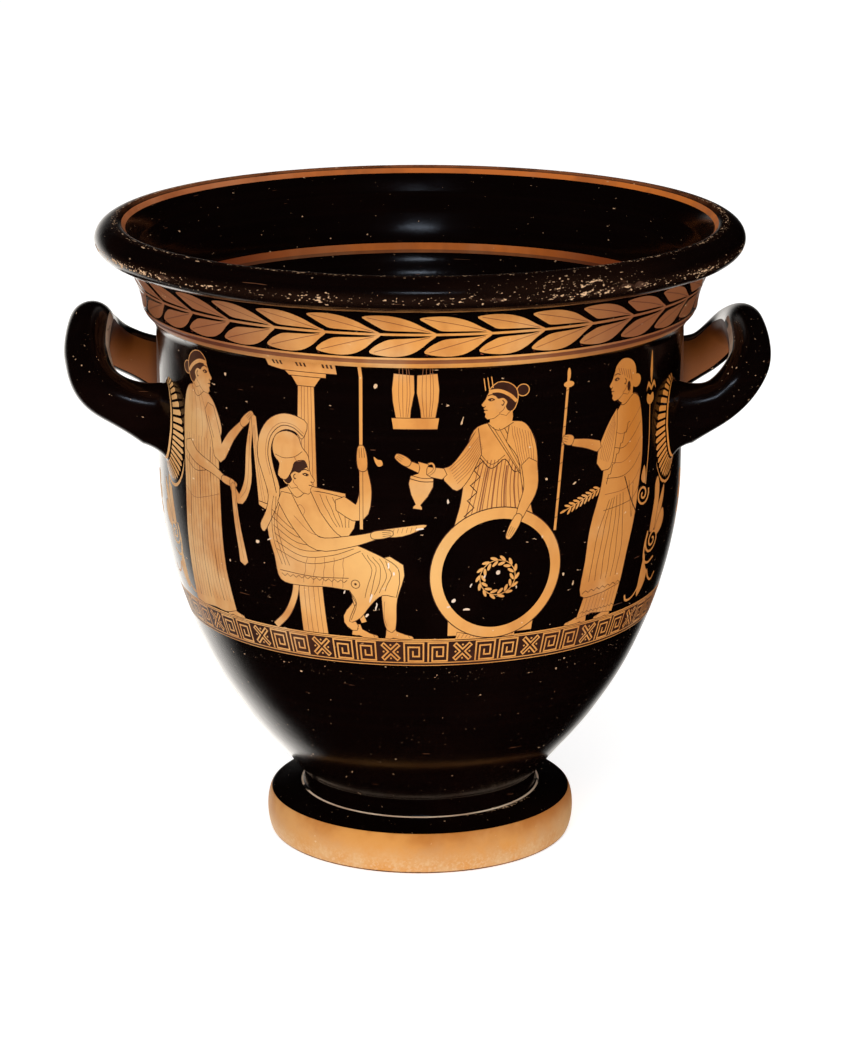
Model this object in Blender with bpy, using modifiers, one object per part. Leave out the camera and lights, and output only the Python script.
"""Bell krater: one fired-clay mixing bowl with a bell-shaped body, a moulded lip, a stemmed disc foot
and two upturned handles, thrown and joined as a single hollow piece.

Metres, +Z up. The origin is the centre of the foot's underside, and the handles lie along X.
"""

import math

import bmesh
import bpy
from mathutils import Vector

# Whole vessel
HEIGHT = 0.385
MOUTH_RADIUS = 0.195
WALL = 0.008
TURN_STEPS = 56

# Lip: a rolled bead whose section is an ellipse, rounder above than below
LIP_WIDTH = 0.0129
LIP_RISE = 0.0103
LIP_DROP = 0.0100
LIP_TUCK_ANGLE = math.radians(-110)
MOUTH_SLOPE_IN = 0.0111
MOUTH_SLOPE_DOWN = 0.0170

# Neck: the flaring collar under the lip, the ledge that ends it above the body, and the clay's
# thickness behind it; the two pulls bend its curve, as shares of its flare and its height
LEDGE_WIDTH = 0.0082
COLLAR_FOOT = 0.0480
COLLAR_WALL = 0.0096
NECK_TOP_PULL = (0.35, 0.31)
NECK_FOOT_PULL = (0.04, 0.28)
LEDGE_HEIGHT = 0.0155
GROOVE_WIDTH = 0.0022
GROOVE_DEPTH = 0.0005
GROOVE_SHARE = 0.74

# Body: its greatest radius, and its curve as shares of the way from the stem to the ledge
BODY_RADIUS = 0.1592
BODY_CURVE = (
    (0.0, 0.0),
    (0.170, 0.062),
    (0.416, 0.155),
    (0.664, 0.280),
    (0.869, 0.440),
    (0.979, 0.600),
    (0.999, 0.760),
    (1.0, 1.0),
)

# Foot: a disc with a swelling edge, a short stem above it and a hollow below
FOOT_BASE_RADIUS = 0.0925
FOOT_EDGE_RADIUS = 0.0928
FOOT_SWELL = 0.0026
FOOT_EDGE_HEIGHT = 0.0257
FOOT_TOP_HEIGHT = 0.0291
STEM_RADIUS = 0.0722
STEM_HEIGHT = 0.0094
STEM_FILLET = 0.0020
RING_WIDTH = 0.0115
HOLLOW_HEIGHT = 0.0290
FLOOR_HEIGHT = 0.0480

# Handles: round bars that leave the wall level, spread, and curve up and round to a high tip. Their
# points are given as (out from the wall, aside from the X axis, up from the root), and each side
# keeps the slightly different bend that the potter's hand gave it.
ROOT_ANGLE = math.radians(23.4)
ROOT_HALF_HEIGHT = 0.0272
ROOT_HALF_WIDTH = 0.0185
ROOT_FLARE_LENGTH = 0.0400
BAR_SIDES = 14
HANDLES = {
    "right": {
        "side": 1,
        "root_drop": 0.1078,
        "knee": Vector((0.0160, 0.0649, 0.0093)),
        "shoulder": Vector((0.0348, 0.0530, 0.0290)),
        "tip": Vector((0.0372, 0, 0.0392)),
        "bar_radius": 0.0132,
        "tip_radius": 0.0123,
    },
    "left": {
        "side": -1,
        "root_drop": 0.1103,
        "knee": Vector((0.0254, 0.0615, 0.0153)),
        "shoulder": Vector((0.0385, 0.0385, 0.0315)),
        "tip": Vector((0.0396, 0, 0.0440)),
        "bar_radius": 0.0144,
        "tip_radius": 0.0135,
    },
}

CLAY_COLOUR = (0.62, 0.30, 0.10, 1.0)
GLOSS_COLOUR = (0.012, 0.008, 0.008, 1.0)


def bezier(start, first, second, end, steps):
    """Points of a cubic Bezier curve, without its start point."""
    points = []
    for step in range(1, steps + 1):
        t = step / steps
        u = 1 - t
        points.append(start * u**3 + first * 3 * u * u * t + second * 3 * u * t * t + end * t**3)
    return points


def smooth_through(points, steps):
    """Catmull-Rom curve through the points, with steps pieces in each stretch."""
    ends = [points[0] * 2 - points[1]] + points + [points[-1] * 2 - points[-2]]
    curve = [points[0]]
    for i in range(1, len(ends) - 2):
        reach_in = (ends[i + 1] - ends[i - 1]) / 6
        reach_out = (ends[i + 2] - ends[i]) / 6
        curve += bezier(ends[i], ends[i] + reach_in, ends[i + 1] - reach_out, ends[i + 1], steps)
    return curve


def lip_point(angle):
    """A point of the lip's section: angle 0 is the outermost point, a right angle the crest."""
    centre = Vector((MOUTH_RADIUS - LIP_WIDTH, HEIGHT - LIP_RISE))
    upright = LIP_RISE if angle > 0 else LIP_DROP
    return centre + Vector((LIP_WIDTH * math.cos(angle), upright * math.sin(angle)))


def lip_outline():
    """From the crest out and down to where the lip tucks into the neck."""
    crest = math.pi / 2
    steps = 9
    return [lip_point(crest + (LIP_TUCK_ANGLE - crest) * i / steps) for i in range(steps + 1)]


def collar_foot():
    return Vector((BODY_RADIUS + LEDGE_WIDTH, HEIGHT - COLLAR_FOOT))


def ledge_foot():
    return Vector((BODY_RADIUS, HEIGHT - COLLAR_FOOT - LEDGE_HEIGHT))


def neck_outline():
    """The collar's slow flare, down to its widest point above the ledge."""
    top = lip_point(LIP_TUCK_ANGLE)
    foot = collar_foot()
    height = top.y - foot.y
    flare = top.x - foot.x
    under_lip = Vector((top.x - NECK_TOP_PULL[0] * flare, top.y - NECK_TOP_PULL[1] * height))
    above_foot = Vector((foot.x + NECK_FOOT_PULL[0] * flare, foot.y + NECK_FOOT_PULL[1] * height))
    return bezier(top, under_lip, above_foot, foot, 4)


def ledge_outline():
    """The rounded step from the collar in to the body, with a fine groove turned in its upper half."""
    top = collar_foot()
    foot = ledge_foot()
    half = (top.y - foot.y) / 2
    curve = bezier(top, Vector((top.x, top.y - half)), Vector((foot.x, foot.y + half)), foot, 6)
    groove_height = foot.y + GROOVE_SHARE * (top.y - foot.y)
    above = [p for p in curve if p.y > groove_height + GROOVE_WIDTH / 2]
    below = [p for p in curve if p.y < groove_height - GROOVE_WIDTH / 2]
    upper = above[-1] if above else top
    lower = below[0]

    def on_step(height):
        share = (height - lower.y) / (upper.y - lower.y)
        return lower.lerp(upper, share)

    edge_above = on_step(groove_height + GROOVE_WIDTH / 2)
    edge_below = on_step(groove_height - GROOVE_WIDTH / 2)
    bed = on_step(groove_height) - Vector((GROOVE_DEPTH, 0))
    return above + [edge_above, bed, edge_below] + below


def body_outline():
    """From the stem up to the ledge."""
    stem_top = Vector((STEM_RADIUS, FOOT_TOP_HEIGHT + STEM_HEIGHT))
    reach = ledge_foot() - stem_top
    points = [stem_top + Vector((reach.x * out, reach.y * up)) for out, up in BODY_CURVE]
    return smooth_through(points, 2)


def foot_outline():
    """From the stem's top down over the disc to the resting ring's outer edge."""
    fillet_top = Vector((STEM_RADIUS, FOOT_TOP_HEIGHT + STEM_FILLET))
    fillet_end = Vector((STEM_RADIUS + STEM_FILLET, FOOT_TOP_HEIGHT))
    fillet_mid = Vector((STEM_RADIUS + 0.3 * STEM_FILLET, FOOT_TOP_HEIGHT + 0.3 * STEM_FILLET))
    edge = Vector((FOOT_EDGE_RADIUS, FOOT_EDGE_HEIGHT))
    base = Vector((FOOT_BASE_RADIUS, 0))
    upper_swell = edge + Vector((4 / 3 * FOOT_SWELL, -FOOT_EDGE_HEIGHT / 4))
    lower_swell = base + Vector((4 / 3 * FOOT_SWELL, FOOT_EDGE_HEIGHT / 4))
    return [fillet_top, fillet_mid, fillet_end, edge] + bezier(edge, upper_swell, lower_swell, base, 6)


def underside_outline():
    """The flat resting ring, and the domed hollow inside it up to the axis."""
    ring_inner = Vector((FOOT_BASE_RADIUS - RING_WIDTH, 0))
    crown = Vector((0, HOLLOW_HEIGHT))
    side = Vector((0.93 * ring_inner.x, 0.6 * HOLLOW_HEIGHT))
    roof = Vector((0.5 * ring_inner.x, HOLLOW_HEIGHT))
    return [ring_inner] + bezier(ring_inner, side, roof, crown, 5)


def outside_profile():
    """The solid's outline from the axis at the mouth, down its outer side, to the axis below."""
    body = body_outline()
    down = body[-2::-1]
    return (
        [Vector((0, HEIGHT))]
        + lip_outline()
        + neck_outline()
        + ledge_outline()
        + down
        + foot_outline()
        + underside_outline()
    )


def offset_inwards(curve, distance):
    """The curve moved by distance towards the axis side, square to itself."""
    moved = []
    for i, point in enumerate(curve):
        along = curve[min(i + 1, len(curve) - 1)] - curve[max(i - 1, 0)]
        along.normalize()
        moved.append(point + Vector((-along.y, along.x)) * distance)
    return moved


def throat_outline(slope_top, wall_top):
    """The inner face behind the collar, a collar wall in from its outline, down to the body's wall."""
    outer = neck_outline()
    behind = offset_inwards(outer[::-1], COLLAR_WALL)[::-1]
    upper = [point for point in behind if point.y < slope_top.y - COLLAR_WALL / 2]
    start = upper[-1]
    half = (start.y - wall_top.y) / 2
    return upper + bezier(start, start - Vector((0, half)), wall_top + Vector((0, half)), wall_top, 3)


def inside_profile():
    """The bowl's hollow, from above the mouth down its wall to the floor's centre."""
    crest = lip_point(math.pi / 2)
    above = HEIGHT + WALL
    slope_top = crest - Vector((MOUTH_SLOPE_IN, MOUTH_SLOPE_DOWN))
    wall = offset_inwards(body_outline(), WALL)
    kept = [p for p in wall if FLOOR_HEIGHT + 2.5 * WALL < p.y < ledge_foot().y - WALL]
    inner_lip = bezier(
        crest,
        crest - Vector((0.45 * MOUTH_SLOPE_IN, 0)),
        slope_top + Vector((0.35 * MOUTH_SLOPE_IN, 0.62 * MOUTH_SLOPE_DOWN)),
        slope_top,
        4,
    )
    throat = throat_outline(slope_top, kept[-1])
    low = kept[0]
    lean = low - kept[1]
    centre = Vector((0, FLOOR_HEIGHT))
    bottom = bezier(low, low + lean * 1.6, Vector((0.45 * low.x, FLOOR_HEIGHT)), centre, 4)
    return [Vector((0, above)), Vector((crest.x, above)), crest] + inner_lip + throat + kept[-2::-1] + bottom


def principled(name, colour, roughness):
    material = bpy.data.materials.new(name)
    material.use_nodes = True
    shader = material.node_tree.nodes["Principled BSDF"]
    shader.inputs["Base Color"].default_value = colour
    shader.inputs["Roughness"].default_value = roughness
    shader.inputs["Metallic"].default_value = 0.0
    return material


def turned(name, profile):
    """An object whose profile is turned about Z by a Screw modifier."""
    mesh = bpy.data.meshes.new(name)
    vertices = [(point.x, 0, point.y) for point in profile]
    edges = [(i, i + 1) for i in range(len(vertices) - 1)]
    mesh.from_pydata(vertices, edges, [])
    thing = bpy.data.objects.new(name, mesh)
    screw = thing.modifiers.new("turn", "SCREW")
    screw.axis = "Z"
    screw.angle = math.tau
    screw.steps = TURN_STEPS
    screw.render_steps = TURN_STEPS
    screw.use_merge_vertices = True
    screw.merge_threshold = 0.0001
    screw.use_smooth_shade = True
    return thing


def handle_path(shape):
    """Points of one handle's centre line from its front root over the tip to its back root."""
    outward = Vector((math.cos(ROOT_ANGLE), -math.sin(ROOT_ANGLE), 0))
    level = Vector((0, 0, HEIGHT - shape["root_drop"]))
    inside_wall = outward * (BODY_RADIUS - 0.4 * WALL) + level

    def placed(offset):
        return level + Vector((BODY_RADIUS + offset.x, -offset.y, offset.z))

    before = inside_wall - outward * 0.75 * (placed(shape["knee"]) - inside_wall).length
    half = [before, inside_wall, placed(shape["knee"]), placed(shape["shoulder"]), placed(shape["tip"])]
    whole = half + [Vector((p.x, -p.y, p.z)) for p in half[-2::-1]]
    path = smooth_through(whole, 4)[4:-4]
    return [Vector((p.x * shape["side"], p.y, p.z)) for p in path]


def handle_ring(shape, points, index):
    """One oval section of a handle: it thickens towards the wall, more in height than in width."""
    last = len(points) - 1
    point = points[index]
    along = points[min(index + 1, last)] - points[max(index - 1, 0)]
    across = along.cross(Vector((0, 0, 1))).normalized()
    upright = across.cross(along).normalized()
    nearest_end = points[0] if index <= last / 2 else points[last]
    closeness = max(0.0, 1 - (point - nearest_end).length / ROOT_FLARE_LENGTH) ** 2
    towards_tip = 1 - abs(2 * index / last - 1)
    radius = shape["bar_radius"] + (shape["tip_radius"] - shape["bar_radius"]) * towards_tip
    half_width = radius + (ROOT_HALF_WIDTH - radius) * closeness
    half_height = radius + (ROOT_HALF_HEIGHT - radius) * closeness
    ring = []
    for side in range(BAR_SIDES):
        angle = math.tau * side / BAR_SIDES
        ring.append(point + across * half_width * math.cos(angle) + upright * half_height * math.sin(angle))
    return ring


def handle(name, shape):
    """One handle, lofted through its oval sections and capped at both ends."""
    points = handle_path(shape)
    shell = bmesh.new()
    rings = []
    for index in range(len(points)):
        rings.append([shell.verts.new(corner) for corner in handle_ring(shape, points, index)])
    for ring, following in zip(rings, rings[1:]):
        for side in range(BAR_SIDES):
            beside = (side + 1) % BAR_SIDES
            shell.faces.new((ring[side], ring[beside], following[beside], following[side]))
    shell.faces.new(rings[0])
    shell.faces.new(rings[-1])
    bmesh.ops.recalc_face_normals(shell, faces=shell.faces)
    mesh = bpy.data.meshes.new(name)
    shell.to_mesh(mesh)
    shell.free()
    return bpy.data.objects.new(name, mesh)


def join_or_cut(target, tool, operation):
    boolean = target.modifiers.new(operation.lower() + "_" + tool.name, "BOOLEAN")
    boolean.operation = operation
    boolean.solver = "EXACT"
    boolean.object = tool


def main():
    for thing in list(bpy.data.objects):
        bpy.data.objects.remove(thing)
    scene_root = bpy.context.scene.collection
    parts = bpy.data.collections.new("bell_krater")
    cutters = bpy.data.collections.new("cutters")
    scene_root.children.link(parts)
    scene_root.children.link(cutters)
    cutters.hide_render = True

    krater = turned("krater", outside_profile())
    krater.data.materials.append(principled("black_gloss", GLOSS_COLOUR, 0.18))
    parts.objects.link(krater)

    bowl = turned("bowl_hollow", inside_profile())
    tools = [(bowl, "DIFFERENCE")]
    for name, shape in HANDLES.items():
        bar = handle("handle_" + name, shape)
        tools.insert(0, (bar, "UNION"))
    for tool, operation in tools:
        cutters.objects.link(tool)
        tool.hide_render = True
        tool.display_type = "WIRE"
        tool.data.materials.append(principled(tool.name, CLAY_COLOUR, 0.7))
        join_or_cut(krater, tool, operation)
    krater.data.shade_smooth()
    krater.data.set_sharp_from_angle(angle=math.radians(40))


main()
